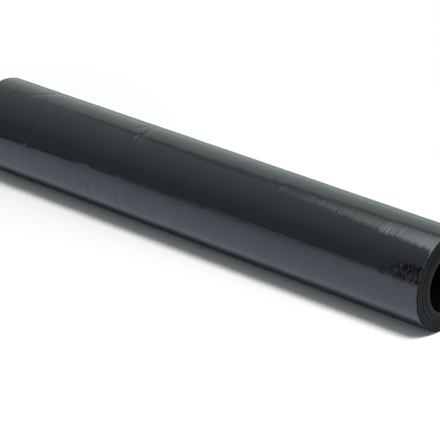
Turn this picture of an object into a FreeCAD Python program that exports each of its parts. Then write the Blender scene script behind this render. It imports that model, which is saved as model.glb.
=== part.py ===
import FreeCAD, Part
import math
import os

from FreeCAD import Vector

# Stretch wrap roll, in millimetres.
# The roll lies on its side with its axis along X, and Z is up.
# The origin is on the floor, under the middle of the roll.
# Angles round the roll are measured from its top towards the back, which is +Y.

# Film
film_width = 500.0
roll_diameter = 84.0
flat_width = 12.0

# Core tube
core_bore = 50.8
core_wall = 4.0
core_overhang = 0.5
core_edge_break = 0.4

# Turns at the ends: the web has one width, so a pack of turns that strays at one end
# strays as far, the same way, at the other.
pack_count = 11
pack_unevenness = 0.42
outer_pack = 1.4
pack_swing = 2.3
pack_stray = 0.28
stray_swing = 2.1
stray_start = 0.5
pack_lean = 0.2
lean_swing = 1.3
rim_break = 0.6
rim_blunting = 0.3

# Gauge bands: stretches of the outer turn that are wound a little slacker or tighter
band_count = 16
band_unevenness = 0.45
band_swing = 1.7
band_relief = 0.1
band_levels = (0.0, 0.7, 0.25, 1.0, 0.4)
band_slope = 4.0

# Free end of the film, which clings to the turn below it
tail_angle = 100.0
tail_step = 0.2
tail_ramp = 30.0

# Worked out from the sizes above
core_radius = core_bore / 2 + core_wall
core_length = film_width + 2 * core_overhang
roll_radius = roll_diameter / 2
axis_height = math.sqrt(roll_radius ** 2 - (flat_width / 2) ** 2)
along_roll = Vector(1, 0, 0)
cutter_margin = 5.0


def uneven_marks(start, end, count, unevenness, swing):
    """Marks from start to end, unevenly spaced, that never turn back. Swing is in radians a mark."""
    marks = []
    for index in range(count + 1):
        share = index / count
        drift = unevenness / count * math.sin(swing * index) * math.sin(math.pi * share)
        marks.append(start + (end - start) * (share + drift))
    return marks


def turned_solid(outline):
    """A closed outline of (x, r) points turned about the roll's axis, at its height over the floor."""
    corners = [Vector(x, 0, r) for x, r in outline]
    face = Part.Face(Part.makePolygon(corners + corners[:1]))
    solid = face.revolve(Vector(0, 0, 0), along_roll, 360)
    solid.translate(Vector(0, 0, axis_height))
    return solid


def turn_packs():
    """Each pack of turns, from the core out: its inner radius, outer radius, stray and lean."""
    marks = uneven_marks(core_radius, roll_radius - outer_pack, pack_count, pack_unevenness, pack_swing)
    marks.append(roll_radius)
    packs = []
    for index in range(len(marks) - 1):
        stray = pack_stray * math.sin(stray_swing * index + stray_start)
        lean = pack_lean * math.cos(lean_swing * index)
        packs.append((marks[index], marks[index + 1], stray, lean))
    return packs


def band_radius(index):
    """The outer turn's radius over one gauge band, counted from the near end."""
    return roll_radius - band_relief * band_levels[index % len(band_levels)]


def end_outline(side):
    """The film's end from the core to the rim: side is 1 at the near end and -1 at the far one."""
    points = []
    for inner, outer, stray, lean in turn_packs():
        middle_x = side * film_width / 2 + stray
        points.append((middle_x - lean / 2, inner))
        points.append((middle_x + lean / 2, outer))
    rim_x = points.pop()[0]
    rim_radius = band_radius(0 if side == 1 else band_count - 1)
    worn = rim_break * rim_blunting
    points.append((rim_x, rim_radius - rim_break))
    points.append((rim_x - side * worn, rim_radius - worn))
    points.append((rim_x - side * rim_break, rim_radius))
    return points


def gauge_band_outline(near_x, far_x):
    """The outer turn between its two rims, as bands of slightly different radius."""
    marks = uneven_marks(near_x, far_x, band_count, band_unevenness, band_swing)
    points = []
    for index in range(band_count - 1):
        slope_middle = marks[index + 1]
        points.append((slope_middle + band_slope / 2, band_radius(index)))
        points.append((slope_middle - band_slope / 2, band_radius(index + 1)))
    return points


def film_outline():
    near_end = end_outline(1)
    far_end = end_outline(-1)
    far_end.reverse()
    bands = gauge_band_outline(near_end[-1][0], far_end[0][0])
    return near_end + bands + far_end


def round_the_roll(angle, radius):
    """A point of the roll's cross-section, by its angle from the top towards the back."""
    turn = math.radians(angle)
    return Vector(0, radius * math.sin(turn), axis_height + radius * math.cos(turn))


def tail_cutter():
    """What is missing past the film's free end: a step down to the turn below, which rises again."""
    length = film_width + 2 * cutter_margin
    foot = round_the_roll(tail_angle, roll_radius - tail_step)
    halfway = round_the_roll(tail_angle + tail_ramp, roll_radius)
    far_end = round_the_roll(tail_angle + 2 * tail_ramp, roll_radius + tail_step)
    outside = round_the_roll(tail_angle + tail_ramp, roll_radius + cutter_margin)
    lip = round_the_roll(tail_angle, roll_radius + tail_step)
    edges = [
        Part.Arc(foot, halfway, far_end).toShape(),
        Part.Arc(far_end, outside, lip).toShape(),
        Part.LineSegment(lip, foot).toShape(),
    ]
    cutter = Part.Face(Part.Wire(edges)).extrude(along_roll * length)
    cutter.translate(along_roll * (-length / 2))
    return cutter


def floor_cutter():
    """Everything under the floor, where the soft turns lie flat."""
    length = film_width + 2 * cutter_margin
    breadth = roll_diameter + 2 * cutter_margin
    corner = Vector(-length / 2, -breadth / 2, -roll_diameter)
    return Part.makeBox(length, breadth, roll_diameter, corner)


def make_film_roll():
    wound = turned_solid(film_outline())
    with_tail = wound.cut(tail_cutter())
    return with_tail.cut(floor_cutter())


def make_core_tube():
    half = core_length / 2
    inner = core_bore / 2
    outline = []
    for side in (1, -1):
        edges = [
            (side * (half - core_edge_break), inner),
            (side * half, inner + core_edge_break),
            (side * half, core_radius - core_edge_break),
            (side * (half - core_edge_break), core_radius),
        ]
        outline += edges if side == 1 else edges[::-1]
    return turned_solid(outline)


def single_solid(shape):
    solids = shape.Solids
    if len(solids) != 1 or not shape.isValid():
        raise RuntimeError("a piece came out as %d solids" % len(solids))
    return solids[0]


def main():
    os.makedirs("parts", exist_ok=True)
    pieces = {"film_roll": make_film_roll(), "core_tube": make_core_tube()}
    for name, shape in pieces.items():
        solid = single_solid(shape)
        solid.exportStep("parts/%s.step" % name)
        box = solid.BoundBox
        print("%s: %.1f cm3, x %.2f to %.2f, y %.2f to %.2f, z %.2f to %.2f" % (
            name, solid.Volume / 1000, box.XMin, box.XMax, box.YMin, box.YMax, box.ZMin, box.ZMax))


main()
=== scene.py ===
import math
import random

import bpy
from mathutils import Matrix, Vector
from mathutils.noise import noise as noise_at


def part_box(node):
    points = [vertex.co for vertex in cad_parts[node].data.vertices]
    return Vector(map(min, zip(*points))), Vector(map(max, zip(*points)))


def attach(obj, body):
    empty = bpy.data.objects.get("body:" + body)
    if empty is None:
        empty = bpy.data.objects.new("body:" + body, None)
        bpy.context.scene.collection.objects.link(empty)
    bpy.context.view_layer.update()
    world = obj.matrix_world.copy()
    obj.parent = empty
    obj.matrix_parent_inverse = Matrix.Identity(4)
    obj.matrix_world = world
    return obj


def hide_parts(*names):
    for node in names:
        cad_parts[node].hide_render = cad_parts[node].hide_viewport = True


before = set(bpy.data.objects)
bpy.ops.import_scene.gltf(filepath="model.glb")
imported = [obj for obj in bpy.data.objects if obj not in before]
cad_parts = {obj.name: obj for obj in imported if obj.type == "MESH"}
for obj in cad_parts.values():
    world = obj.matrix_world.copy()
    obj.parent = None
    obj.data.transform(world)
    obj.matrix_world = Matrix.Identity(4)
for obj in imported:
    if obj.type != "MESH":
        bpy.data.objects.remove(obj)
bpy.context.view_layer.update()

bl_info = {
    "name": "Stretch Wrap Roll",
    "version": (1, 0, 0),
    "blender": (4, 5, 0),
    "location": "3D View > Sidebar > Wrap Roll",
    "description": "Winds a roll of black stretch wrap on its core, and lights it on a white table",
    "category": "Object",
}

# Lengths are metres. The roll's axis runs along X, and Z is up from the table.
# Angles round the roll are measured from its top towards its front, which is -Y.
film_low, film_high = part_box("film_roll")
core_low, core_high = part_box("core_tube")
AXIS_HEIGHT = (core_low.z + core_high.z) / 2
ROLL_RADIUS = min(film_high.z - AXIS_HEIGHT, film_high.y, -film_low.y)
CORE_RADIUS = (core_high.z - core_low.z) / 2
CORE_LENGTH = core_high.x - core_low.x
MILLIMETRE = 0.001
OUTER_TURN = ROLL_RADIUS - MILLIMETRE  # what lies further out belongs to the outer turn

# How the packs of turns and the gauge bands vary, as in the part's source. Swings are radians
# a mark.
PACK_UNEVENNESS, PACK_SWING = 0.42, 2.3
STRAY_SWING, STRAY_START, LEAN_SWING = 2.1, 0.5, 1.3
BAND_UNEVENNESS, BAND_SWING = 0.45, 1.7
BAND_LEVELS = (0.0, 0.7, 0.25, 1.0, 0.4)

# The worn rim, as shares of the rim break: how far it drops, and how far in it lies along the roll
RIM_PROFILE = ((1.0, 0.0), (0.62, 0.08), (0.3, 0.3), (0.08, 0.62), (0.0, 1.0))

# Where the outer turn's mesh is finer, for creases and the near corner: cuts, from and to
FINER_STRETCHES = ((2, -0.086, -0.060), (2, -0.206, -0.176), (1, 0.205, 0.2495))

# Depth of the finest relief
CREASE_DEPTH = 0.34 * MILLIMETRE
CRUMPLE_DEPTH = 0.26 * MILLIMETRE
NICK_DEPTH = 0.7 * MILLIMETRE
CORNER_REACH = 45  # millimetres from the near end that can be crumpled


class WrapFilm(bpy.types.PropertyGroup):
    """Sizes and finish of the wound film"""
    width: bpy.props.FloatProperty(
        name="Film Width", description="Width of the web, which every turn keeps",
        default=0.5, unit="LENGTH")
    columns: bpy.props.IntProperty(
        name="Columns", description="Mesh columns round the roll", default=144, min=48)
    ring_spacing: bpy.props.FloatProperty(
        name="Ring Spacing", description="Distance between mesh rings along the outer turn",
        default=0.00125, unit="LENGTH")
    pack_count: bpy.props.IntProperty(
        name="Packs", description="Packs of turns that show at the ends, under the outer one",
        default=11, min=3)
    outer_pack: bpy.props.FloatProperty(
        name="Outer Pack", description="Thickness of the outermost pack of turns",
        default=0.0014, unit="LENGTH")
    pack_stray: bpy.props.FloatProperty(
        name="Pack Stray", description="How far a pack of turns strays along the roll",
        default=0.00028, unit="LENGTH")
    pack_lean: bpy.props.FloatProperty(
        name="Pack Lean", description="How far the end of one pack leans along the roll",
        default=0.0002, unit="LENGTH")
    rim_break: bpy.props.FloatProperty(
        name="Rim Break", description="Size of the worn edge where the outer turn ends",
        default=0.0006, unit="LENGTH")
    band_count: bpy.props.IntProperty(
        name="Gauge Bands", description="Bands of slightly different radius along the outer turn",
        default=16, min=2)
    band_relief: bpy.props.FloatProperty(
        name="Band Relief", description="How much lower the slackest gauge band lies",
        default=0.0001, unit="LENGTH")
    tail_angle: bpy.props.FloatProperty(
        name="Tail Angle", description="Where the film's free end lies, from the top to the back",
        default=math.radians(100), subtype="ANGLE")
    tail_step: bpy.props.FloatProperty(
        name="Tail Step", description="Height of the free end over the turn below",
        default=0.0002, unit="LENGTH")
    colour: bpy.props.FloatVectorProperty(
        name="Film Colour", description="Colour of the film's face",
        default=(0.0112, 0.0136, 0.0160), subtype="COLOR", size=3, min=0, max=1)
    edge_colour: bpy.props.FloatVectorProperty(
        name="Edge Colour", description="Colour of the film's cut edges at the roll's ends",
        default=(0.0080, 0.0074, 0.0092), subtype="COLOR", size=3, min=0, max=1)
    roughness: bpy.props.FloatProperty(
        name="Film Roughness", description="Roughness of the film's face",
        default=0.08, min=0, max=1)
    ripple_depth: bpy.props.FloatProperty(
        name="Ripple Depth", description="Depth of the fine ripples in the film's face",
        default=0.00007, precision=6, unit="LENGTH")


class WrapCore(bpy.types.PropertyGroup):
    """Sizes and finish of the core tube"""
    wall: bpy.props.FloatProperty(
        name="Core Wall", description="Wall of the core tube", default=0.004, unit="LENGTH")
    edge_break: bpy.props.FloatProperty(
        name="Edge Break", description="Chamfer at the core's cut ends",
        default=0.0004, unit="LENGTH")
    colour: bpy.props.FloatVectorProperty(
        name="Core Colour", description="Colour of the core's plastic",
        default=(0.011, 0.0112, 0.0120), subtype="COLOR", size=3, min=0, max=1)


class WrapStage(bpy.types.PropertyGroup):
    """The table, the light and the camera"""
    table_colour: bpy.props.FloatVectorProperty(
        name="Table Colour", description="Colour of the table",
        default=(0.86, 0.86, 0.86), subtype="COLOR", size=3, min=0, max=1)
    table_lift: bpy.props.FloatProperty(
        name="Table Lift", description="How much brighter the camera sees the table",
        default=1.18, min=0)
    key_power: bpy.props.FloatProperty(
        name="Key Light", description="Power of the key light, above the front right",
        default=76.0, min=0, unit="POWER")
    softbox_strength: bpy.props.FloatProperty(
        name="Softbox", description="Brightness of the overhead softbox in the film's gloss",
        default=1.0, min=0)
    backdrop_strength: bpy.props.FloatProperty(
        name="Backdrop", description="Brightness of the studio walls in the film's gloss",
        default=1.0, min=0)
    fill_light: bpy.props.FloatProperty(
        name="Fill Light", description="Brightness of the soft light that comes from all round",
        default=0.335, min=0)


# Plain modelling steps

def pick_nothing():
    if bpy.context.object and bpy.context.object.mode != "OBJECT":
        bpy.ops.object.mode_set(mode="OBJECT")
    bpy.ops.object.select_all(action="DESELECT")


def uneven_marks(start, end, count, unevenness, swing):
    """Marks from start to end, unevenly spaced, that never turn back."""
    marks = []
    for index in range(count + 1):
        share = index / count
        drift = unevenness / count * math.sin(swing * index) * math.sin(math.pi * share)
        marks.append(start + (end - start) * (share + drift))
    return marks


def start_ring(name, x, radius, columns):
    """A ring of vertices round the roll's axis, with its place in its mesh."""
    pick_nothing()
    bpy.ops.mesh.primitive_circle_add(
        vertices=columns, radius=radius, fill_type="NOTHING",
        location=(x, 0, AXIS_HEIGHT), rotation=(0, math.pi / 2, 0))
    piece = bpy.context.object
    piece.name = name
    piece.data.name = name
    bpy.ops.object.transform_apply(location=True, rotation=True, scale=True)
    return piece


def extrude_rings(rings):
    """Draws the selected ring out through each (x, radius) in turn, from the first, where it is."""
    last_x, last_radius = rings[0]
    for x, radius in rings[1:]:
        bpy.ops.mesh.extrude_region_move(TRANSFORM_OT_translate={"value": (x - last_x, 0, 0)})
        grown = radius / last_radius
        bpy.ops.transform.resize(value=(1, grown, grown), center_override=(x, 0, AXIS_HEIGHT))
        last_x, last_radius = x, radius


def close_tube():
    """Joins the first ring to the last, and turns every face outwards."""
    bpy.ops.mesh.select_all(action="DESELECT")
    bpy.ops.mesh.select_non_manifold()
    bpy.ops.mesh.bridge_edge_loops()
    bpy.ops.mesh.select_all(action="SELECT")
    bpy.ops.mesh.normals_make_consistent(inside=False)
    bpy.ops.object.mode_set(mode="OBJECT")


def roll_place(point):
    """Where a point lies on the roll: along it, the angle from the top to the front, its radius."""
    up = point.z - AXIS_HEIGHT
    return point.x, math.degrees(math.atan2(-point.y, up)), math.hypot(point.y, up)


def choose(piece, kind, wanted):
    """Selects only the vertices or edges that are wanted, given as a list of yes and no."""
    bpy.ops.object.mode_set(mode="EDIT")
    bpy.ops.mesh.select_mode(type=kind)
    bpy.ops.mesh.select_all(action="DESELECT")
    bpy.ops.object.mode_set(mode="OBJECT")
    elements = piece.data.vertices if kind == "VERT" else piece.data.edges
    elements.foreach_set("select", wanted)
    bpy.ops.object.mode_set(mode="EDIT")


def split_outer_edges(piece, cuts, from_x=-1.0, to_x=1.0):
    """Cuts the outer turn's edges along the roll, between two places, into shorter ones."""
    surface = ROLL_RADIUS - MILLIMETRE / 2
    too_short = 0.7 * MILLIMETRE
    vertices = piece.data.vertices
    chosen = [
        roll_place(vertex.co)[2] > surface and from_x < vertex.co.x < to_x
        for vertex in vertices]
    wanted = []
    for edge in piece.data.edges:
        first, second = edge.vertices
        length = abs(vertices[first].co.x - vertices[second].co.x)
        wanted.append(chosen[first] and chosen[second] and length > too_short)
    choose(piece, "EDGE", wanted)
    bpy.ops.mesh.subdivide(number_cuts=cuts)
    bpy.ops.object.mode_set(mode="OBJECT")


def press_relief(piece, name, height, weight_at, direction="NORMAL"):
    """Raises the surface by height, or sinks it, times the weight at each place."""
    least_weight = 0.001
    group = piece.vertex_groups.new(name=name)
    for vertex in piece.data.vertices:
        weight = weight_at(*roll_place(vertex.co))
        if weight > least_weight:
            group.add([vertex.index], min(weight, 1.0), "REPLACE")
    bpy.ops.object.modifier_add(type="DISPLACE")
    relief = piece.modifiers[-1]
    relief.vertex_group = name
    relief.direction = direction
    relief.strength = height
    relief.mid_level = 0
    bpy.ops.object.modifier_apply(modifier=relief.name)
    piece.vertex_groups.remove(piece.vertex_groups[name])


def bell(distance, width):
    """A smooth bump, 1 at no distance and near nothing at twice the width."""
    return math.exp(-(distance / width) ** 2)


def between(value, low, high, fade):
    """1 well inside low to high, fading to 0 over the given distance at each end."""
    rise = min(max((value - low) / fade + 0.5, 0), 1)
    fall = min(max((high - value) / fade + 0.5, 0), 1)
    return rise * rise * (3 - 2 * rise) * fall * fall * (3 - 2 * fall)


# The film

def turn_packs(sizes):
    """Each pack of turns from the core out: its inner radius, outer radius, stray and lean."""
    marks = uneven_marks(CORE_RADIUS, ROLL_RADIUS - sizes.outer_pack, sizes.pack_count,
                         PACK_UNEVENNESS, PACK_SWING)
    marks.append(ROLL_RADIUS)
    packs = []
    for index in range(len(marks) - 1):
        stray = sizes.pack_stray * math.sin(STRAY_SWING * index + STRAY_START)
        lean = sizes.pack_lean * math.cos(LEAN_SWING * index)
        packs.append((marks[index], marks[index + 1], stray, lean))
    return packs


def band_radius(sizes, index):
    """The outer turn's radius over one gauge band, counted from the near end."""
    return ROLL_RADIUS - sizes.band_relief * BAND_LEVELS[index % len(BAND_LEVELS)]


def end_rings(sizes, side):
    """Rings of the film's end from the core to the rim, a few for the turns of each pack.

    Side is 1 at the near end and -1 at the far one.
    """
    rings_in_pack = 4
    turn_relief = 0.035 * MILLIMETRE
    step_width = 0.02 * MILLIMETRE
    scatter = random.Random(7)
    rings = []
    for inner, outer, stray, lean in turn_packs(sizes):
        for index in range(rings_in_pack):
            share = index / (rings_in_pack - 1)
            x = side * sizes.width / 2 + stray + lean * (share - 0.5)
            x += turn_relief * scatter.uniform(-1, 1)
            rings.append((x, inner + step_width + (outer - inner - step_width) * share))
    rim_x = rings.pop()[0]
    rim_radius = band_radius(sizes, 0 if side == 1 else sizes.band_count - 1)
    for drop, inset in RIM_PROFILE:
        rings.append((rim_x - side * sizes.rim_break * inset, rim_radius - sizes.rim_break * drop))
    return rings


def band_rings(sizes, near_x, far_x):
    """Rings of the outer turn between the two rims, two at each slope between gauge bands."""
    half_slope = 6 * MILLIMETRE
    marks = uneven_marks(near_x, far_x, sizes.band_count, BAND_UNEVENNESS, BAND_SWING)
    rings = []
    for index in range(sizes.band_count - 1):
        middle = marks[index + 1]
        rings.append((middle + half_slope, band_radius(sizes, index)))
        rings.append((middle - half_slope, band_radius(sizes, index + 1)))
    return rings


def wind_film_mesh(sizes):
    """The film as one ring drawn out along its ends and its outer turn, and closed on itself."""
    near_end = end_rings(sizes, 1)
    far_end = end_rings(sizes, -1)
    far_end.reverse()
    bands = band_rings(sizes, near_end[-1][0], far_end[0][0])
    piece = start_ring("film_winding", near_end[0][0], near_end[0][1], sizes.columns)
    bpy.ops.object.mode_set(mode="EDIT")
    bpy.ops.mesh.select_all(action="SELECT")
    extrude_rings(near_end + bands + far_end)
    close_tube()
    bands_and_slopes = 2 * sizes.band_count - 1
    split_outer_edges(piece, round(sizes.width / bands_and_slopes / sizes.ring_spacing) - 1)
    for cuts, from_x, to_x in FINER_STRETCHES:
        split_outer_edges(piece, cuts, from_x, to_x)
    return piece


def lay_tail(piece, sizes):
    """The film's free end: the column just past it is drawn close and sinks to the turn below."""
    tail = -math.degrees(sizes.tail_angle)
    column = 360 / sizes.columns
    ramp = 30.0  # degrees, over which the turn below rises to the surface again
    foot_gap = 0.35  # degrees from the free end's edge to its foot
    places = [roll_place(vertex.co) for vertex in piece.data.vertices]
    choose(piece, "VERT", [
        radius > OUTER_TURN and abs(angle - (tail - column)) < column / 3
        for x, angle, radius in places])
    bpy.ops.transform.rotate(
        value=math.radians(column - foot_gap), orient_axis="X", center_override=(0, 0, AXIS_HEIGHT))
    bpy.ops.object.mode_set(mode="OBJECT")

    def past_tail(x, angle, radius):
        past = tail - angle
        if radius < OUTER_TURN or past < foot_gap / 2 or past > ramp:
            return 0
        return 1 - past / ramp

    press_relief(piece, "past_tail", -sizes.tail_step, past_tail)


def path_place(path, angle):
    """Where a crease's path lies along the roll at an angle, in millimetres."""
    for (low_angle, low_x), (high_angle, high_x) in zip(path, path[1:]):
        if angle <= high_angle:
            share = max((angle - low_angle) / (high_angle - low_angle), 0)
            return low_x + (high_x - low_x) * share
    return path[-1][1]


class Crease:
    """A crease in the outer turn: its line stays up, and the film beside it is drawn in.

    Its width is in millimetres, its depth a share of CREASE_DEPTH, and its path goes through
    angles in degrees and places along the roll in millimetres. Break-up is how patchy it is.
    """
    fade = 6  # degrees over which it runs out at each end
    reach = 3  # how many widths the drawn-in film reaches to each side
    near_share = 0.5  # how much of the depth is left on the side of the near end
    patch_swing = 1.35  # radians a degree
    fullness = 2.2

    def __init__(self, width, depth, path, break_up=0.0):
        self.width = width
        self.depth = depth
        self.path = path
        self.break_up = break_up

    def hollow(self, x, angle):
        start, end = self.path[0][0], self.path[-1][0]
        if angle < start - self.fade / 2 or angle > end + self.fade / 2:
            return 0
        away = x / MILLIMETRE - path_place(self.path, angle)
        beside = bell(away, self.width * self.reach) * (1 - bell(away, self.width))
        if away > 0:
            beside *= self.near_share
        strength = between(angle, start, end, self.fade)
        strength *= 1 - self.break_up * (0.5 + 0.5 * math.sin(angle * self.patch_swing))
        return self.fullness * beside * self.depth * strength


CREASES = (
    Crease(0.7, 1.0, ((-34, -75.4), (-15, -71.5), (-5, -69.3), (3, -67.9), (12, -66.7)), 0.2),
    Crease(0.6, 1.3, ((11, -67.0), (15, -69.8), (20, -71.0), (26, -69.5))),
    Crease(0.7, 0.9, ((-12, -74.6), (-1, -76.8), (4, -78.7), (8, -82.0))),
    Crease(0.6, 1.0, ((7, -69.0), (12, -67.0), (18, -65.1), (28, -65.0)), 0.3),
    Crease(0.6, 0.9, ((30, -72.0), (37, -72.9), (41, -74.2), (47, -75.6)), 0.6),
    Crease(1.4, 0.6, ((32, -76.0), (35, -78.5), (38, -83.0))),
    Crease(0.8, 0.9, ((-34, -196.0), (-11, -189.1), (-2, -191.5), (6, -198.8), (12, -203.4)), 0.2),
    Crease(0.8, 0.7, ((8, -190.5), (13, -186.0), (19, -182.6), (25, -181.0)), 0.3),
    Crease(1.2, 0.6, ((5, -228.4), (10, -223.0), (14, -219.3), (18, -218.0))),
    Crease(0.7, 0.6, ((20, -181.5), (48, -180.6), (72, -178.0), (84, -182.4), (104, -184.0)), 0.4),
    Crease(0.8, 0.65, ((73, -114.0), (80, -113.3), (90, -111.9), (102, -111.9),
                       (119, -114.2)), 0.2),
    Crease(0.8, 0.6, ((74, -107.0), (80, -106.4), (92, -104.9), (105, -104.2), (117, -103.2)), 0.2),
    Crease(0.7, 0.4, ((74, -69.0), (78, -69.2), (94, -68.7), (117, -73.0)), 0.3),
)


def beside_creases(x, angle, radius):
    if radius < OUTER_TURN:
        return 0
    return max(crease.hollow(x, angle) for crease in CREASES)


def crumpled_corner(sizes):
    """The last few centimetres at the near end, where the outer turns are loose and crumpled.

    Places and sizes are in millimetres, and angles in degrees.
    """
    dent_count = 120
    spread = 16
    low_angle, high_angle = 48, 74
    nothing_under, nothing_over = 38, 82
    long_share = 0.4
    scatter = random.Random(23)
    near_x = sizes.width / 2 / MILLIMETRE
    dents = [
        (near_x - abs(scatter.gauss(0, spread)), scatter.uniform(low_angle, high_angle),
         scatter.uniform(0.7, 1.7), scatter.uniform(0.4, 1.0))
        for _ in range(dent_count)
    ]

    def weight_at(x, angle, radius):
        along = x / MILLIMETRE
        if along < near_x - CORNER_REACH or radius < OUTER_TURN:
            return 0
        if angle < nothing_under or angle > nothing_over:
            return 0
        deepest = 0
        for dent_x, dent_angle, size, depth in dents:
            across = math.radians(angle - dent_angle) * ROLL_RADIUS / MILLIMETRE
            away = math.hypot(along - dent_x, across * long_share)
            deepest = max(deepest, depth * bell(away, size))
        return deepest * between(along, near_x - 40, near_x + 5, 12)

    return weight_at


def nick_depths():
    """Depths of the nicks round a rim, evenly spaced."""
    scatter = random.Random(41)
    return [scatter.random() ** 2 for _ in range(90)]


def frayed_rim(sizes, nicks, side):
    """Nicks in the outer turns' edge at one end, deepest where the near corner is crumpled.

    Side is 1 at the near end and -1 at the far one.
    """
    nick_count = len(nicks)
    low_angle, high_angle, fade = 52, 84, 10
    rim_x = sizes.width / 2 - 1.2 * MILLIMETRE
    rim_radius = ROLL_RADIUS - 1.1 * MILLIMETRE

    def weight_at(x, angle, radius):
        if x * side < rim_x or radius < rim_radius:
            return 0
        place = (angle % 360) * nick_count / 360
        first, second = nicks[int(place) % nick_count], nicks[(int(place) + 1) % nick_count]
        depth = 0.45 * (first + (second - first) * (place % 1))
        if side == 1:
            uneven = 0.6 + 0.4 * math.sin(angle * 1.1)
            depth += 0.55 * between(angle, low_angle, high_angle, fade) * uneven
        return depth

    return weight_at


def flatten_underside(piece):
    """The soft turns lie flat where the roll rests: what is under the table comes up to it."""
    choose(piece, "VERT", [vertex.co.z < 0 for vertex in piece.data.vertices])
    bpy.ops.transform.resize(value=(1, 1, 0), center_override=(0, 0, 0))
    bpy.ops.object.mode_set(mode="OBJECT")


def shaded_sliver_share(x, angle, near_x):
    """How much of the film near a place at the near end is dull slivers of crumpled film, which
    carry painted crease shade.

    Near_x is the end's place in millimetres. The slivers lie between a top and a low angle, and
    a few more follow the rim round to the underside.
    """
    along = x / MILLIMETRE
    past_end = near_x + 60
    nearness = between(along, near_x - 26, past_end, 42)
    top_angle = 54 + 8 * (1 - nearness)
    crumpled = min(1.15 * nearness, 0.85) * between(angle, top_angle, 74, 7)
    at_rim = between(along, near_x - 0.9, past_end, 0.8)
    frayed_edge = 0.4 * at_rim * between(angle, 76, 128, 14)
    return max(crumpled, frayed_edge)


def finish_film_faces(piece, sizes):
    """The film's face on the outer turn, dull slivers with painted crease shade where it is
    crumpled, and its cut edges.
    """
    for material in (film_face_material(sizes), film_edge_material(sizes),
                     crumple_shade_material(sizes)):
        piece.data.materials.append(material)
    face, cut_edge, shaded_sliver = 0, 1, 2
    steep = 0.35
    curl_start, curl_end = 72, 140
    patches, patch_level = 0.45, 0.05
    streaks_along, streaks_round, streak_slant, least_streak = 900, 210, 160, 0.08
    curl_radius = ROLL_RADIUS - 0.5 * MILLIMETRE
    rim_radius = ROLL_RADIUS - 0.04 * MILLIMETRE
    near_x = sizes.width / 2 / MILLIMETRE
    for polygon in piece.data.polygons:
        x, angle, radius = roll_place(polygon.center)
        if radius < OUTER_TURN or abs(polygon.normal.x) > steep:
            curled = x > 0 and curl_start < angle < curl_end and radius > curl_radius
            shiny = curled and noise_at(Vector((angle * patches, 0, 0))) > patch_level
            polygon.material_index = cut_edge if radius < rim_radius and not shiny else face
        elif x / MILLIMETRE > near_x - CORNER_REACH:
            across = math.radians(angle) * ROLL_RADIUS * streaks_round + x * streak_slant
            streak = max(noise_at(Vector((x * streaks_along, across, 0))) + 0.5, least_streak)
            polygon.material_index = shaded_sliver if streak < shaded_sliver_share(x, angle, near_x) else face


# Finishes: steps that every material is made of

def feed(tree, socket, source):
    """Links a socket to another node's output, or sets its number, vector or colour."""
    if hasattr(source, "is_output"):
        tree.links.new(source, socket)
    elif socket.type == "RGBA":
        socket.default_value = (*source, 1)
    else:
        socket.default_value = source


def feed_by_name(tree, node, **sources):
    """Feeds a node's inputs by name, where an underscore stands for a space."""
    for label, source in sources.items():
        feed(tree, node.inputs[label.replace("_", " ")], source)
    return node


def feed_in_order(tree, node, *sources):
    for socket, source in zip(node.inputs, sources):
        feed(tree, socket, source)
    return node.outputs[0]


def new_node(tree, kind, **sources):
    return feed_by_name(tree, tree.nodes.new("ShaderNode" + kind), **sources)


def bare_material(name):
    """A material with only its output, whose socket waits for a shader."""
    material = bpy.data.materials.new(name)
    material.use_nodes = True
    tree = material.node_tree
    tree.nodes.clear()
    return material, tree, new_node(tree, "OutputMaterial").inputs["Surface"]


def new_material(name, **sources):
    material, tree, surface = bare_material(name)
    shader = new_node(tree, "BsdfPrincipled", **sources)
    tree.links.new(shader.outputs["BSDF"], surface)
    return material, tree, shader


def coordinates(tree, kind):
    return new_node(tree, "TexCoord").outputs[kind]


def xyz(tree, vector):
    return tuple(new_node(tree, "SeparateXYZ", Vector=vector).outputs)


def value_node(tree, operation, *sources):
    """A Math node, whose inputs are numbers or other nodes' outputs."""
    node = new_node(tree, "Math")
    node.operation = operation
    return feed_in_order(tree, node, *sources)


def times(tree, first, second):
    return value_node(tree, "MULTIPLY", first, second)


def times_plus(tree, first, second, third):
    return value_node(tree, "MULTIPLY_ADD", first, second, third)


def mapped_range(tree, source, from_low, from_high, to_low, to_high, kind="SMOOTHSTEP"):
    node = new_node(tree, "MapRange", Value=source, From_Min=from_low, From_Max=from_high,
                    To_Min=to_low, To_Max=to_high)
    node.interpolation_type = kind
    return node.outputs["Result"]


def rising(tree, source, low, high):
    """0 under low, 1 over high, and smooth between."""
    return mapped_range(tree, source, low, high, 0.0, 1.0)


def falling(tree, source, low, high):
    """1 under low, 0 over high, and smooth between."""
    return mapped_range(tree, source, low, high, 1.0, 0.0)


def noise(tree, vector, scale, detail, roughness=0.5):
    return new_node(tree, "TexNoise", Vector=vector, Scale=scale, Detail=detail,
                    Roughness=roughness).outputs["Fac"]


def stretched(tree, vector, scale, location=(0, 0, 0)):
    return new_node(
        tree, "Mapping", Vector=vector, Scale=scale, Location=location).outputs["Vector"]


def stretched_noise(tree, point, scale, detail, roughness=0.5, location=(0, 0, 0)):
    """Noise at a scale of its own along each axis, in grains a metre."""
    return noise(tree, stretched(tree, point, scale, location), 1.0, detail, roughness)


def tinted(colour, factor, lift=0.0):
    return tuple(channel * factor + lift for channel in colour)


def mixed_colour(tree, factor, first, second):
    node = new_node(tree, "Mix")
    node.data_type = "RGBA"
    for index, source in ((0, factor), (6, first), (7, second)):
        feed(tree, node.inputs[index], source)
    return node.outputs[2]


def mixed_shaders(tree, factor, first, second):
    return feed_in_order(
        tree, new_node(tree, "MixShader"), factor, first.outputs[0], second.outputs[0])


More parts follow.
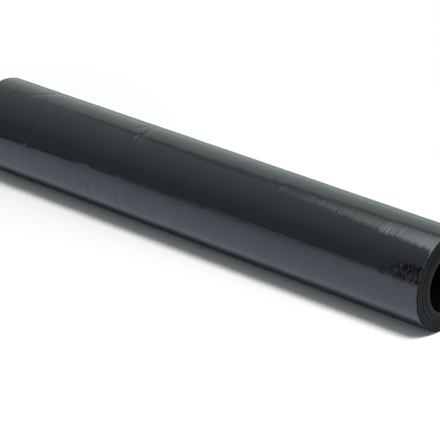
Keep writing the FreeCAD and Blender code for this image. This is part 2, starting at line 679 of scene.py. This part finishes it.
def colour_ramp(tree, factor, stops):
    """A ramp through stops, each a position and a colour, in order."""
    node = new_node(tree, "ValToRGB", Fac=factor)
    elements = node.color_ramp.elements
    while len(elements) < len(stops):
        elements.new(0.5)
    for element, (position, colour) in zip(elements, stops):
        element.position = position
        element.color = (*colour, 1)
    return node.outputs["Color"]


def dress_shader(tree, shader, colour, roughness, height, depth, **others):
    """Feeds a shader its colour, roughness and relief, whose depth is in metres, and any others."""
    bump = new_node(tree, "Bump", Height=height, Distance=depth)
    feed_by_name(tree, shader, Base_Color=colour, Roughness=roughness,
                 Normal=bump.outputs["Normal"], **others)


# Effects that several materials share

def new_group(name, inputs, outputs):
    """An empty node group. Its inputs are names, kinds and defaults, and its outputs are values."""
    group = bpy.data.node_groups.new(name, "ShaderNodeTree")
    for label, kind, default in inputs:
        socket = group.interface.new_socket(label, in_out="INPUT", socket_type=kind)
        if default is not None:
            socket.default_value = default
    for label in outputs:
        group.interface.new_socket(label, in_out="OUTPUT", socket_type="NodeSocketFloat")
    return group, group.nodes.new("NodeGroupInput"), group.nodes.new("NodeGroupOutput")


PLACE = ("Along", "Angle", "Radius")


def roll_place_group():
    """Turns a point into its place on the roll: along it, angle from top to front, radius."""
    group, inlet, outlet = new_group(
        "Place on Roll", [("Point", "NodeSocketVector", None)], PLACE)
    along, back, up = xyz(group, inlet.outputs["Point"])
    front = times(group, back, -1.0)
    squares = times_plus(group, up, up, times(group, front, front))
    angle = value_node(group, "ARCTAN2", front, up)
    radius = value_node(group, "SQRT", squares)
    feed_by_name(group, outlet, Along=along, Angle=angle, Radius=radius)
    return group


def winding_ripples_group():
    """Ripples of film wound tight, along the roll and round it: fine teeth and long waves."""
    group, inlet, outlet = new_group(
        "Winding Ripples", [(label, "NodeSocketFloat", 0.0) for label in PLACE],
        ("Height", "Slackness", "Strokes"))
    along, angle, radius = (inlet.outputs[label] for label in PLACE)
    arc = times(group, angle, ROLL_RADIUS)
    unrolled = new_node(group, "CombineXYZ", X=along, Y=arc, Z=radius).outputs["Vector"]
    teeth = stretched_noise(group, unrolled, (345, 100, 0), 2.0, 0.55)
    uneven = stretched_noise(group, unrolled, (30, 40, 0), 1.0, location=(0.7, 0.2, 0))
    teeth = times(group, teeth, mapped_range(group, uneven, 0.35, 0.65, 0.9, 1.9))
    waves = times(group, stretched_noise(group, unrolled, (95, 11, 0), 1.0), 4.0)
    patches = stretched_noise(group, unrolled, (16, 13, 0), 1.0, location=(0.3, 0.1, 0))
    height = times_plus(group, waves, rising(group, patches, 0.45, 0.68), teeth)
    slackness = stretched_noise(group, unrolled, (26, 7, 0), 2.0)
    strokes = stretched_noise(group, unrolled, (480, 150, 0), 3.0, 0.6)
    feed_by_name(group, outlet, Height=height, Slackness=slackness, Strokes=strokes)
    return group


def handling_haze_group():
    """A faint uneven haze of dust and handling, as a mask."""
    group, inlet, outlet = new_group(
        "Handling Haze", [("Point", "NodeSocketVector", None), ("Amount", "NodeSocketFloat", 0.5)],
        ("Mask",))
    point = inlet.outputs["Point"]
    clouds = mapped_range(group, noise(group, point, 35.0, 6.0, 0.65), 0.45, 0.75, 0.0, 0.6)
    specks = rising(group, noise(group, point, 900.0, 2.0), 0.62, 0.74)
    both = value_node(group, "MAXIMUM", clouds, specks)
    feed_by_name(group, outlet, Mask=times(group, both, inlet.outputs["Amount"]))
    return group


GROUPS_BY_NAME = {"Place on Roll": roll_place_group, "Winding Ripples": winding_ripples_group,
                  "Handling Haze": handling_haze_group}


def use_group(tree, name, **sources):
    """Places a shared group, which is built when it is first asked for, and gives its outputs."""
    node = new_node(tree, "Group")
    node.node_tree = bpy.data.node_groups.get(name) or GROUPS_BY_NAME[name]()
    return feed_by_name(tree, node, **sources).outputs


def material_on_roll(name, dust):
    """A material so far, with its point, its place on the roll and its haze for the rest to use."""
    material, tree, shader = new_material(name)
    axis_at_nothing = (0, 0, -AXIS_HEIGHT)
    point = stretched(tree, coordinates(tree, "Object"), (1, 1, 1), axis_at_nothing)
    place = use_group(tree, "Place on Roll", Point=point)
    haze = use_group(tree, "Handling Haze", Point=point, Amount=dust)
    return material, tree, shader, point, place, haze["Mask"]


def wound_film(name, dust):
    """A film material so far, with its ripples and its haze for the rest to use."""
    material, tree, shader, _, place, haze = material_on_roll(name, dust)
    ripples = use_group(tree, "Winding Ripples", **{label: place[label] for label in PLACE})
    return material, tree, shader, ripples, haze


# The roll's materials

def film_face_material(sizes):
    """Glossy black film, tight round the roll, with fine ripples and a faint haze."""
    material, tree, shader, ripples, haze = wound_film("film_face", 0.35)
    slackness = ripples["Slackness"]
    colour = mixed_colour(tree, slackness, tinted(sizes.colour, 0.82), tinted(sizes.colour, 1.15))
    colour = mixed_colour(tree, haze, colour, tinted(sizes.colour, 1.5, 0.003))
    roughness = times_plus(tree, slackness, 0.04, sizes.roughness - 0.02)
    roughness = times_plus(tree, haze, 0.10, roughness)
    dress_shader(tree, shader, colour, roughness, ripples["Height"], sizes.ripple_depth, IOR=1.5)
    return material


def crumple_shade_material(sizes):
    """Slivers of crumpled film at the near corner, too creased to shine. Their dark strokes are
    painted shade in the creases.
    """
    # Painted shade in the creases, darker than the film itself
    dark = (0.0035, 0.0022, 0.0042)
    light = (0.030, 0.029, 0.031)
    material, tree, shader, ripples, haze = wound_film("film_crumples_painted_shade", 0.5)
    colour = mixed_colour(tree, rising(tree, ripples["Strokes"], 0.46, 0.62), dark, light)
    colour = mixed_colour(tree, haze, colour, tinted(sizes.colour, 1.5))
    roughness = times_plus(tree, ripples["Slackness"], 0.2, 0.22)
    height = times_plus(tree, ripples["Strokes"], 8.0, ripples["Height"])
    dress_shader(tree, shader, colour, roughness, height, sizes.ripple_depth,
                 Specular_IOR_Level=0.08)
    return material


# Tone of the cut edges, by the share of the way from the core to the rim
EDGE_TONES = ((0.0, 0.35), (0.08, 0.45), (0.17, 1.5), (0.26, 1.2), (0.33, 0.6), (0.50, 0.55),
              (0.60, 0.9), (0.72, 0.95), (0.78, 0.6), (0.90, 0.75), (0.95, 0.9), (1.0, 0.7))


def film_edge_material(sizes):
    """The cut edges of thousands of turns: fine rings, packs of slightly different shade, and
    painted glints on the ragged rim.
    """
    painted_glint_colour = (0.062, 0.065, 0.072)
    full_tone = 2
    turns_a_metre = 2600.0
    spiral = 0.0006
    material, tree, shader, point, place, haze = material_on_roll("film_edges", 0.6)
    outwards = mapped_range(tree, place["Radius"], CORE_RADIUS, ROLL_RADIUS, 0.0, 1.0, "LINEAR")
    tones = colour_ramp(tree, outwards, [(at, (tone / full_tone,) * 3) for at, tone in EDGE_TONES])
    along_turn = times(tree, place["Angle"], spiral)
    rings = new_node(tree, "CombineXYZ", X=place["Radius"], Y=along_turn)
    turns = noise(tree, rings.outputs["Vector"], turns_a_metre, 3.0, 0.7)
    mottle = stretched_noise(tree, point, (60, 330, 330), 5.0, 0.75)
    light = mapped_range(tree, times_plus(tree, turns, 0.5, mottle), 0.52, 1.0, 0.1, 2.4)
    colour = mixed_colour(
        tree, times(tree, tones, light), (0, 0, 0), tinted(sizes.edge_colour, full_tone))
    colour = mixed_colour(tree, haze, colour, tinted(sizes.edge_colour, 1.4))
    # Painted glints, as if the ragged outer turns at the rim caught the light
    specks = rising(tree, stretched_noise(tree, point, (700, 520, 520), 2.0), 0.52, 0.58)
    painted_rim_glints = times(tree, rising(tree, outwards, 0.94, 0.97), specks)
    colour = mixed_colour(tree, painted_rim_glints, colour, painted_glint_colour)
    roughness = times_plus(tree, mottle, 0.2, 0.42)
    height = times_plus(tree, mottle, 0.8, turns)
    dress_shader(tree, shader, colour, roughness, height, 0.12 * MILLIMETRE,
                 Specular_IOR_Level=0.16)
    return material


def core_material(sizes):
    """Extruded dark plastic: faint draw lines along the tube, saw marks on its cut ends, and
    painted shade inside the bore.
    """
    sawn = (0.021, 0.020, 0.019)
    half = CORE_LENGTH / 2
    bore = CORE_RADIUS - sizes.wall
    material, tree, shader, point, place, haze = material_on_roll("core_plastic", 0.7)
    draw_lines = stretched_noise(tree, point, (4, 900, 900), 3.0, 0.6)
    saw_marks = stretched_noise(tree, point, (30, 260, 1500), 2.0)
    along = value_node(tree, "ABSOLUTE", place["Along"])
    at_end = rising(tree, along, half - 0.6 * MILLIMETRE, half - 0.1 * MILLIMETRE)
    cut_end = mixed_colour(tree, saw_marks, tinted(sizes.colour, 1.1), sawn)
    colour = mixed_colour(tree, at_end, sizes.colour, cut_end)
    colour = mixed_colour(tree, haze, colour, tinted(sizes.colour, 1.8))
    # Painted shade inside the bore, where little light reaches
    painted_bore_shade = falling(tree, place["Radius"], bore + 0.1 * MILLIMETRE, bore + 0.5 * MILLIMETRE)
    colour = mixed_colour(tree, painted_bore_shade, colour, tinted(sizes.colour, 0.15))
    roughness = times_plus(tree, haze, 0.15, times_plus(tree, at_end, 0.2, 0.36))
    height = times_plus(tree, times(tree, saw_marks, at_end), 1.6, draw_lines)
    dress_shader(tree, shader, colour, roughness, height, 0.04 * MILLIMETRE,
                 Specular_IOR_Level=0.10)
    return material


# The stage

DARK_SURROUND = (0.10, 0.11, 0.12)

# Painted light and shadow on the table in front of the roll, which only the film's gloss and bounce
# light see: from where to where each painted tone sets in. The first two are painted light on the
# floor near the roll, the last a painted shadow under the roll.
TABLE_FRONT_PAINTED_TONES = (
    (-0.30, -0.10, (1.04, 1.10, 1.25)),
    (-0.070, -0.046, (0.88, 0.94, 1.06)),
    (-0.034, -0.022, (0.30, 0.32, 0.36)),
)


def table_material(settings):
    """White table. The camera sees it lifted, and plain white away from the roll. Gloss and bounce
    rays see it with painted light and shade: a painted shadow under and behind the roll, and
    painted brighter floor in front of the roll and past its near end.
    """
    far_front, painted_light_front_near_end = (0.76, 0.82, 0.93), (1.02, 1.09, 1.22)
    painted_shade_behind_roll, far_back = (0.27, 0.295, 0.29), (0.70, 0.75, 0.74)
    painted_light_past_near_end = (0.88, 1.04, 1.02)
    half = CORE_LENGTH / 2
    camera_slant = -0.68
    material, tree, surface = bare_material("white_table")
    x, y, _ = xyz(tree, coordinates(tree, "Object"))
    beyond = value_node(tree, "SUBTRACT", value_node(tree, "ABSOLUTE", x), half)
    beyond = value_node(tree, "MAXIMUM", beyond, 0.0)
    squares = times_plus(tree, y, y, times(tree, beyond, beyond))
    away = rising(tree, value_node(tree, "SQRT", squares), 0.10, 0.30)
    # Behind the roll the gloss sees painted shade, darkest close to the roll
    back = mixed_colour(tree, rising(tree, y, 0.10, 0.62), painted_shade_behind_roll, far_back)
    # Painted brighter floor in front, towards the near end, as the film's gloss sees it
    at_near_end = rising(tree, times_plus(tree, y, camera_slant, x), 0.10, 0.27)
    front = mixed_colour(tree, at_near_end, far_front, painted_light_front_near_end)
    # Painted light on the floor near the roll, then a painted shadow under it
    for from_y, to_y, shade in TABLE_FRONT_PAINTED_TONES:
        front = mixed_colour(tree, rising(tree, y, from_y, to_y), front, shade)
    in_gloss = mixed_colour(tree, rising(tree, y, -0.02, 0.12), front, back)
    # Past the near end, painted light on the table, which the end face reflects
    past_end = times(tree, rising(tree, x, half, half + 0.03), falling(tree, y, 0.02, 0.09))
    in_gloss = mixed_colour(tree, past_end, in_gloss, painted_light_past_near_end)
    camera_ray = new_node(tree, "LightPath").outputs["Is Camera Ray"]
    lifted = tinted(settings.table_colour, settings.table_lift)
    colour = mixed_colour(tree, camera_ray, in_gloss, lifted)
    diffuse = new_node(tree, "BsdfDiffuse", Color=colour)
    white = new_node(tree, "Emission")
    seen_white = times(tree, away, camera_ray)
    tree.links.new(mixed_shaders(tree, seen_white, diffuse, white), surface)
    return material


def add_plane(name, size_x, size_y, location, turn, material):
    """A flat plane of the stage, turned about Z."""
    pick_nothing()
    bpy.ops.mesh.primitive_plane_add(size=1, location=location, rotation=(0, 0, turn))
    plane = bpy.context.object
    plane.name = name
    plane.scale = (size_x, size_y, 1)
    bpy.ops.object.transform_apply(location=False, rotation=False, scale=True)
    plane.data.materials.append(material)
    return plane


def show_to_gloss_only(plane):
    plane.visible_camera = False
    plane.visible_diffuse = False
    plane.visible_shadow = False


def softbox_material(settings, middle_front, middle_right):
    """The overhead softbox, and the dark gap behind it, as the film's gloss sees them.

    Its places are measured from the softbox's back left corner, towards the front and the right.
    """
    material, tree, surface = bare_material("softbox")
    x, y, _ = xyz(tree, coordinates(tree, "Object"))
    front = value_node(tree, "SUBTRACT", middle_front, y)
    right = value_node(tree, "ADD", middle_right, x)
    over_front = times_plus(tree, front, 1.3, 0.35)
    over_front.node.use_clamp = True
    diagonal = times_plus(tree, front, 0.4, right)
    dim_part = mapped_range(tree, diagonal, 0.05, 0.17, 0.0, 1.6)
    bright_part = mapped_range(tree, diagonal, 0.23, 0.33, 0.0, 2.0)
    glow = times(tree, value_node(tree, "ADD", dim_part, bright_part), over_front)
    glow = times(tree, glow, rising(tree, right, -0.03, 0.03))
    strength = times(tree, glow, settings.softbox_strength)
    emission = new_node(tree, "Emission", Color=(0.92, 1.0, 1.0), Strength=strength)
    left_part = value_node(tree, "MAXIMUM", value_node(tree, "SUBTRACT", -0.05, right), 0.0)
    past_gap = times_plus(tree, left_part, 1.9, times_plus(tree, right, 0.5, front))
    gap_opens = mapped_range(tree, past_gap, -0.34, -0.24, 0.0, 0.5)
    gap_closes = falling(tree, past_gap, -0.12, 0.22)
    gap_fades = mapped_range(tree, right, -0.50, -0.15, 0.6, 1.0)
    gap = times(tree, times(tree, gap_opens, gap_closes), gap_fades)
    shade = mixed_colour(tree, gap, (1, 1, 1), (0, 0, 0))
    seen_through = new_node(tree, "BsdfTransparent", Color=shade)
    both = feed_in_order(
        tree, new_node(tree, "AddShader"), seen_through.outputs[0], emission.outputs[0])
    tree.links.new(both, surface)
    return material


def add_dark_card():
    """The dark floor beyond the table's front left edge. Only gloss sees it."""
    edge_back = Vector((-0.444, -0.252, 0.001))
    edge_front = Vector((-0.930, -1.290, 0.001))
    size = 6.0
    past_back = 0.08
    along = (edge_front - edge_back).normalized()
    outwards = Vector((along.y, -along.x, 0))
    middle = edge_back + along * (size / 2 - past_back) + outwards * (size / 2)
    turn = math.atan2(along.y, along.x) - math.pi / 2
    material = new_material(
        "dark_surround", Base_Color=DARK_SURROUND, Roughness=1.0, Specular_IOR_Level=0.0)[0]
    show_to_gloss_only(add_plane("dark_surround", size, size, middle, turn, material))


# The backdrop's brightness, by how far back a direction points
BACKDROP = ((-1.0, 0.11), (-0.79, 0.13), (-0.72, 0.15), (-0.56, 0.27), (-0.39, 0.41),
            (-0.29, 0.45), (-0.20, 0.49), (0.0, 0.56), (0.20, 0.61), (0.29, 0.66), (0.37, 0.71),
            (0.44, 0.80), (0.52, 0.88), (0.68, 0.93), (1.0, 0.90))


def backdrop_stops():
    """The backdrop's stops for a ramp, a little warmer behind than in front."""
    stops = []
    for backwards, light in BACKDROP:
        blue = 1.04 if backwards < 0 else 0.98
        stops.append((backwards * 0.5 + 0.5, (light * 0.89, light, light * blue)))
    return stops


def studio_in_gloss(tree):
    """The studio's walls by direction, as the film's gloss sees them."""
    right, back, up = xyz(tree, coordinates(tree, "Generated"))
    colour = colour_ramp(tree, times_plus(tree, back, 0.5, 0.5), backdrop_stops())
    left_dark = mapped_range(tree, right, -0.92, -0.72, 0.75, 0.0)
    right_bright = mapped_range(tree, right, -0.45, 0.0, 0.0, 0.7)
    strip = times(tree, rising(tree, up, 0.28, 0.36), falling(tree, up, 0.56, 0.68))
    strip = times(tree, strip, rising(tree, right, 0.40, 0.60))
    right_end = rising(tree, right, 0.80, 0.93)
    over_horizon = times(
        tree, falling(tree, up, 0.03, 0.06), rising(tree, right, -0.63, -0.59))
    for factor, shade in (
            (left_dark, DARK_SURROUND), (right_bright, (1.2, 1.3, 1.3)), (strip, (2.2, 2.3, 2.3)),
            (right_end, (0.50, 0.54, 0.55)), (over_horizon, (0.75, 0.8, 0.86))):
        colour = mixed_colour(tree, factor, colour, shade)
    return colour


def light_studio(settings):
    """White to the camera. To gloss and to light: a white backdrop behind, dark at the front."""
    fill_tint = (0.95, 1.01, 1.03)
    world = bpy.data.worlds.new("studio")
    bpy.context.scene.world = world
    world.use_nodes = True
    tree = world.node_tree
    tree.nodes.clear()
    path = new_node(tree, "LightPath").outputs
    in_gloss = mixed_colour(tree, settings.backdrop_strength, (0, 0, 0), studio_in_gloss(tree))
    fill = tinted(fill_tint, settings.fill_light)
    colour = mixed_colour(tree, path["Is Diffuse Ray"], in_gloss, fill)
    studio = new_node(tree, "Background", Color=colour)
    white = new_node(tree, "Background", Color=(1, 1, 1))
    mixed = mixed_shaders(tree, path["Is Camera Ray"], studio, white)
    new_node(tree, "OutputWorld", Surface=mixed)


def add_softbox(settings):
    """The overhead softbox, turned with the camera, whose left edge the near end reflects."""
    height = 1.2
    corner = Vector((-0.80, 0.43))
    to_front = Vector((0.499, -0.867))
    to_right = Vector((0.867, 0.499))
    low_front, high_front = -0.5, 1.1
    low_right, high_right = -1.3, 1.1
    middle_front = (low_front + high_front) / 2
    middle_right = (low_right + high_right) / 2
    middle = corner + to_front * middle_front + to_right * middle_right
    show_to_gloss_only(add_plane(
        "softbox", high_right - low_right, high_front - low_front, (middle.x, middle.y, height),
        math.atan2(to_right.y, to_right.x), softbox_material(settings, middle_front, middle_right)))


def add_key_light(settings):
    """The key light, above the front right, which throws the roll's shadow behind it."""
    place = Vector((1.5, -0.53, 2.6))
    bpy.ops.object.light_add(type="AREA", location=place)
    key = bpy.context.object
    key.name = "key_light"
    key.rotation_euler = (-place).to_track_quat("-Z", "Y").to_euler()
    key.data.shape = "SQUARE"
    key.data.size = 0.8
    key.data.energy = settings.key_power
    key.visible_camera = False
    key.visible_glossy = False


def add_camera():
    """A long lens, as far off as the photograph's."""
    bpy.ops.object.camera_add(
        location=(1.2598, -1.4334, 0.9028),
        rotation=(math.radians(90 - 24.843), 0, math.radians(41.084)))
    camera = bpy.context.object
    camera.data.sensor_width = 36.0
    camera.data.lens = 201.2
    camera.data.clip_start = 0.05
    camera.data.clip_end = 60.0
    bpy.context.scene.camera = camera


# Operators, one for each piece and one for the stage

class WRAP_OT_wind_film(bpy.types.Operator):
    """Winds the film: packs of turns, gauge bands, free end, creases and flat underside"""
    bl_idname = "wrap.wind_film"
    bl_label = "Wind the Film"

    def execute(self, context):
        sizes = context.scene.wrap_film
        piece = wind_film_mesh(sizes)
        lay_tail(piece, sizes)
        press_relief(piece, "beside_creases", -CREASE_DEPTH, beside_creases)
        press_relief(piece, "crumples", -CRUMPLE_DEPTH, crumpled_corner(sizes))
        nicks = nick_depths()
        for name, side in (("near_nicks", 1), ("far_nicks", -1)):
            press_relief(piece, name, -side * NICK_DEPTH, frayed_rim(sizes, nicks, side), "X")
        flatten_underside(piece)
        finish_film_faces(piece, sizes)
        bpy.ops.object.shade_smooth_by_angle(angle=math.radians(32))
        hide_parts("film_roll")
        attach(piece, "root")
        return {"FINISHED"}


class WRAP_OT_fit_core(bpy.types.Operator):
    """Fits the core tube inside the film, with its broken edges"""
    bl_idname = "wrap.fit_core"
    bl_label = "Fit the Core"

    def execute(self, context):
        sizes = context.scene.wrap_core
        bore = CORE_RADIUS - sizes.wall
        half = CORE_LENGTH / 2
        cut = sizes.edge_break
        rings = []
        for side in (1, -1):
            end = [
                (side * (half - cut), bore),
                (side * (half - cut * 0.3), bore + cut * 0.3),
                (side * half, bore + cut),
                (side * half, bore + sizes.wall * 0.5),
                (side * half, CORE_RADIUS - cut),
                (side * (half - cut * 0.3), CORE_RADIUS - cut * 0.3),
                (side * (half - cut), CORE_RADIUS),
            ]
            rings += end if side == 1 else end[::-1]
        piece = start_ring("core", rings[0][0], rings[0][1], 144)
        bpy.ops.object.mode_set(mode="EDIT")
        bpy.ops.mesh.select_all(action="SELECT")
        extrude_rings(rings)
        close_tube()
        piece.data.materials.append(core_material(sizes))
        bpy.ops.object.shade_smooth_by_angle(angle=math.radians(30))
        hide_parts("core_tube")
        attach(piece, "root")
        return {"FINISHED"}


class WRAP_OT_set_stage(bpy.types.Operator):
    """Sets the table, the studio light, the softbox and the camera"""
    bl_idname = "wrap.set_stage"
    bl_label = "Set the Stage"

    def execute(self, context):
        settings = context.scene.wrap_stage
        context.scene.view_settings.view_transform = "Standard"
        add_plane("table", 14.0, 14.0, (0, 0, 0), 0.0, table_material(settings))
        add_dark_card()
        light_studio(settings)
        add_softbox(settings)
        add_key_light(settings)
        add_camera()
        return {"FINISHED"}


class WRAP_PT_roll(bpy.types.Panel):
    """Lists the roll's pieces and their settings"""
    bl_idname = "WRAP_PT_roll"
    bl_label = "Wrap Roll"
    bl_space_type = "VIEW_3D"
    bl_region_type = "UI"
    bl_category = "Wrap Roll"

    def draw(self, context):
        scene = context.scene
        for settings, operator in ((scene.wrap_film, "wrap.wind_film"),
                                   (scene.wrap_core, "wrap.fit_core"),
                                   (scene.wrap_stage, "wrap.set_stage")):
            box = self.layout.box()
            box.operator(operator)
            for name in settings.bl_rna.properties.keys():
                if name not in ("rna_type", "name"):
                    box.prop(settings, name)


SETTINGS = {"wrap_film": WrapFilm, "wrap_core": WrapCore, "wrap_stage": WrapStage}
CLASSES = (WrapFilm, WrapCore, WrapStage, WRAP_OT_wind_film, WRAP_OT_fit_core, WRAP_OT_set_stage,
           WRAP_PT_roll)


def register():
    for cls in CLASSES:
        bpy.utils.register_class(cls)
    for name, group in SETTINGS.items():
        setattr(bpy.types.Scene, name, bpy.props.PointerProperty(type=group))


def unregister():
    for name in SETTINGS:
        delattr(bpy.types.Scene, name)
    for cls in reversed(CLASSES):
        bpy.utils.unregister_class(cls)


def main():
    register()
    bpy.ops.wrap.set_stage()
    bpy.ops.wrap.wind_film()
    bpy.ops.wrap.fit_core()


if __name__ == "__main__":
    main()
